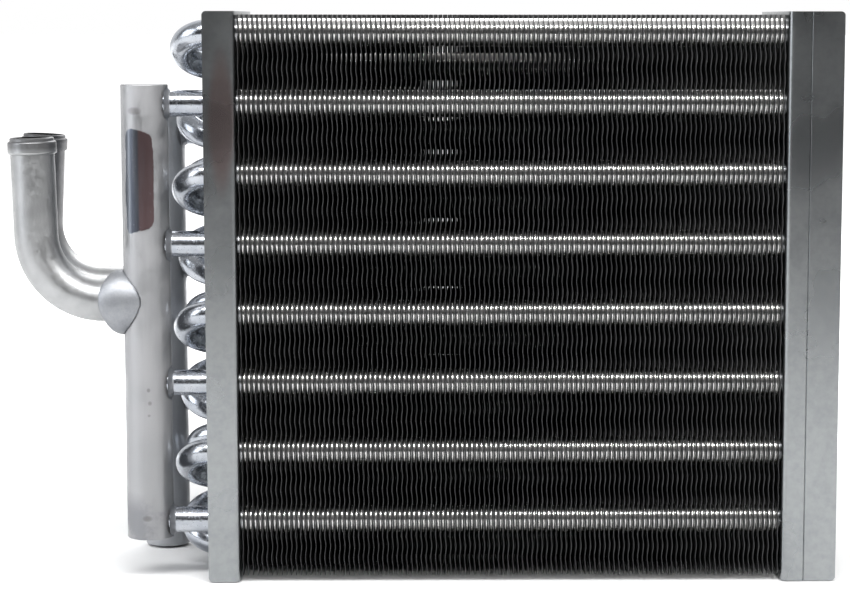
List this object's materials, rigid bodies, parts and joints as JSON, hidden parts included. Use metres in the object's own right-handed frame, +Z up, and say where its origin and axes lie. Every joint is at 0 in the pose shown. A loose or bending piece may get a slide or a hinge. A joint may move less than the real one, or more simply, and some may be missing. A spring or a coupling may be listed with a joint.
{
  "type": "heater core",
  "caption": "Fin-and-tube heat exchanger with folded end plates, crossing return bends, two upright manifolds and two bent hose pipes at one end.",
  "frame": {"origin": "middle of the bounding box at the foot of the end plates", "axes": "+X along the core tubes, away from the manifolds; +Y along the air flow from the front face to the rear; +Z up the tube rows"},
  "size_m": [0.3056, 0.0792, 0.2066],
  "materials": {
    "fin_sheet": "thin rolled sheet, dulled",
    "plate_sheet": "satin rolled sheet",
    "core_tube": "drawn tube, dulled by brazing",
    "bend_tube": "drawn tube, bright",
    "manifold_tube": "drawn tube with a matte flux bloom",
    "filler_metal": "solidified brazing filler, uneven"
  },
  "bodies": {
    "root": {"fins": "fin_sheet", "left_end_plate": "plate_sheet", "right_end_plate": "plate_sheet", "hairpin_tube_1": "core_tube", "hairpin_tube_2": "core_tube", "hairpin_tube_3": "core_tube", "hairpin_tube_4": "core_tube", "hairpin_tube_5": "core_tube", "hairpin_tube_6": "core_tube", "hairpin_tube_7": "core_tube", "hairpin_tube_8": "core_tube", "hairpin_tube_9": "core_tube", "hairpin_tube_10": "core_tube", "hairpin_tube_11": "core_tube", "hairpin_tube_12": "core_tube", "hairpin_tube_13": "core_tube", "hairpin_tube_14": "core_tube", "hairpin_tube_15": "core_tube", "hairpin_tube_16": "core_tube", "return_bend_1": "bend_tube", "return_bend_2": "bend_tube", "return_bend_3": "bend_tube", "return_bend_4": "bend_tube", "return_bend_5": "bend_tube", "return_bend_6": "bend_tube", "return_bend_7": "bend_tube", "return_bend_8": "bend_tube", "return_bend_9": "bend_tube", "return_bend_10": "bend_tube", "return_bend_11": "bend_tube", "return_bend_12": "bend_tube", "front_stub_1": "bend_tube", "front_stub_2": "bend_tube", "front_stub_3": "bend_tube", "front_stub_4": "bend_tube", "rear_stub_1": "bend_tube", "rear_stub_2": "bend_tube", "rear_stub_3": "bend_tube", "rear_stub_4": "bend_tube", "front_manifold": "manifold_tube", "rear_manifold": "manifold_tube", "front_top_cap": "manifold_tube", "front_bottom_cap": "manifold_tube", "rear_top_cap": "manifold_tube", "rear_bottom_cap": "manifold_tube", "front_hose_pipe": "manifold_tube", "rear_hose_pipe": "manifold_tube", "front_stub_fillets": "filler_metal", "rear_stub_fillets": "filler_metal", "front_pipe_fillet": "filler_metal", "rear_pipe_fillet": "filler_metal"}
  },
  "joints": []
}
